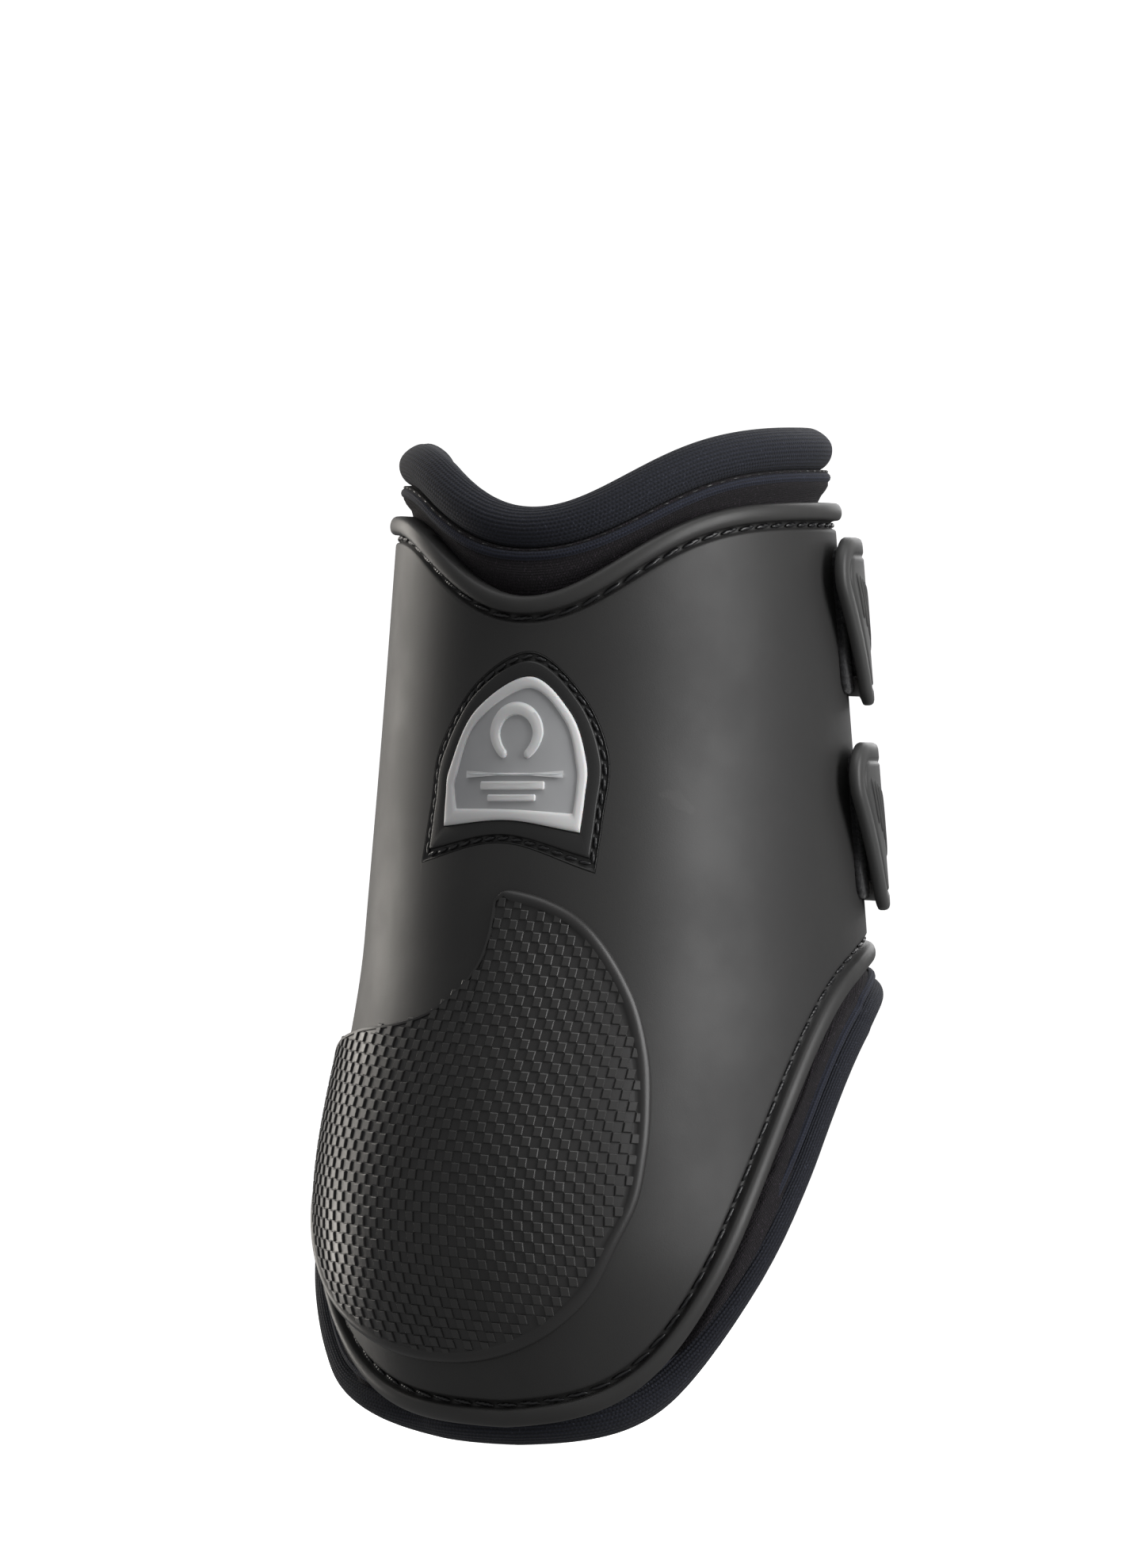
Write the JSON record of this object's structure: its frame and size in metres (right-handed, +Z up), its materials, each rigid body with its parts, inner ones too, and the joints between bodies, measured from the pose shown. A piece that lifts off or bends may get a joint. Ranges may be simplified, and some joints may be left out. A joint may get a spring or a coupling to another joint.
{
  "type": "hind fetlock boot",
  "caption": "Moulded strike boot for a horse's right hind fetlock, with a padded liner and two tab straps that open at the front.",
  "frame": {"origin": "on the leg axis, level with the lowest point of the hem", "axes": "+Z up the leg, +X to the front opening, -Y the outer side of the leg"},
  "size_m": [0.1132, 0.0996, 0.1818],
  "materials": {
    "shell_tpu": "satin",
    "plate_tpu": "satin, checkered",
    "badge_dark": "satin",
    "badge_light": "matte",
    "badge_grey": "matte",
    "thread": "matte",
    "liner_knit": "matte knit over neoprene",
    "roll_knit": "matte heathered knit",
    "piping_cord": "matte",
    "gel": "satin",
    "binding_tape": "matte",
    "loop_tape": "matte",
    "hook_tape": "matte",
    "tab_rubber": "satin",
    "elastic_web": "matte woven"
  },
  "bodies": {
    "boot": {"outer_shell": "shell_tpu", "strike_plate": "plate_tpu", "badge_base": "badge_dark", "badge_rim": "badge_light", "badge_field": "badge_grey", "badge_emblem": "badge_light", "badge_stitches": "thread", "shell_top_stitches": "thread", "shell_hem_stitches": "thread", "neoprene_liner": "liner_knit", "top_roll": "roll_knit", "top_piping": "piping_cord", "hem_roll": "roll_knit", "hem_piping": "piping_cord", "tendon_gel_pad": "gel", "fetlock_gel_pad": "gel", "front_binding_lateral": "binding_tape", "front_binding_medial": "binding_tape", "upper_loop_patch": "loop_tape", "lower_loop_patch": "loop_tape", "upper_anchor_plate": "tab_rubber", "lower_anchor_plate": "tab_rubber", "upper_anchor_stitches": "thread", "lower_anchor_stitches": "thread"},
    "upper_strap": {"upper_elastic": "elastic_web", "upper_tab_root": "tab_rubber", "upper_tab_stitches": "thread"},
    "upper_tab_body": {"upper_tab": "tab_rubber", "upper_hook_patch": "hook_tape"},
    "lower_strap": {"lower_elastic": "elastic_web", "lower_tab_root": "tab_rubber", "lower_tab_stitches": "thread"},
    "lower_tab_body": {"lower_tab": "tab_rubber", "lower_hook_patch": "hook_tape"}
  },
  "joints": [
    {"name": "upper_strap_swing", "type": "hinge", "parent": "boot", "child": "upper_strap", "pos_m": [0.01158, 0.03972, 0.1472], "axis": [-0.0215, -0.0737, 0.997], "range_deg": [0, 110]},
    {"name": "upper_tab_peel", "type": "hinge", "parent": "upper_strap", "child": "upper_tab_body", "pos_m": [0.04142, -0.01673, 0.1472], "axis": [-0.0712, 0.0288, 0.997], "range_deg": [0, 70]},
    {"name": "lower_strap_swing", "type": "hinge", "parent": "boot", "child": "lower_strap", "pos_m": [0.01237, 0.04244, 0.1104], "axis": [-0.0215, -0.0737, 0.997], "range_deg": [0, 110]},
    {"name": "lower_tab_peel", "type": "hinge", "parent": "lower_strap", "child": "lower_tab_body", "pos_m": [0.04405, -0.0178, 0.1104], "axis": [-0.0712, 0.0288, 0.997], "range_deg": [0, 70]}
  ]
}
